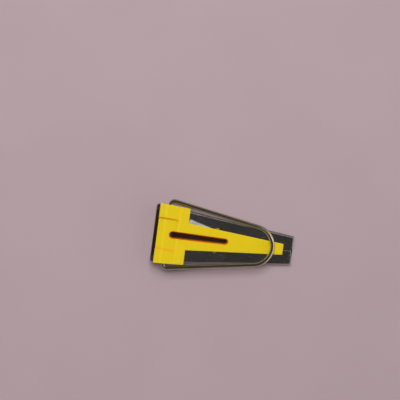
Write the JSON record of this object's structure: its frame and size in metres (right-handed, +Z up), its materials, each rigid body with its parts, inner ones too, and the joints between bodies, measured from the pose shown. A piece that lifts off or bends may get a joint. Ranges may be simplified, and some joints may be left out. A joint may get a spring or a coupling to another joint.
{
  "type": "bias tape maker",
  "caption": "Hand tool that folds both edges of a fabric strip to the middle: tapered folded metal horn, moulded strip guide and swinging wire pull handle.",
  "frame": {"origin": "on the horn's flat underside, midway between the mouth's edge and the tip's edge, on the middle line", "axes": "+X from the wide mouth, where the strip goes in, to the narrow tip, where the tape comes out; +Z up, from the underside to the guide; +Y completes the frame, across the tool"},
  "size_m": [0.064, 0.0326, 0.0079],
  "materials": {
    "nickel_sheet": "bright nickel plate on rolled steel sheet",
    "yellow_plastic": "glossy moulded plastic, slightly translucent",
    "nickel_wire": "bright nickel plate on drawn steel wire"
  },
  "bodies": {
    "folder": {"folding_horn": "nickel_sheet", "strip_guide": "yellow_plastic"},
    "handle": {"wire_handle": "nickel_wire"}
  },
  "joints": [
    {"name": "handle_swing", "type": "hinge", "parent": "folder", "child": "handle", "pos_m": [-0.02575, 0, 0.0045], "axis": [0, -1, 0], "range_deg": [0, 183.5]}
  ]
}
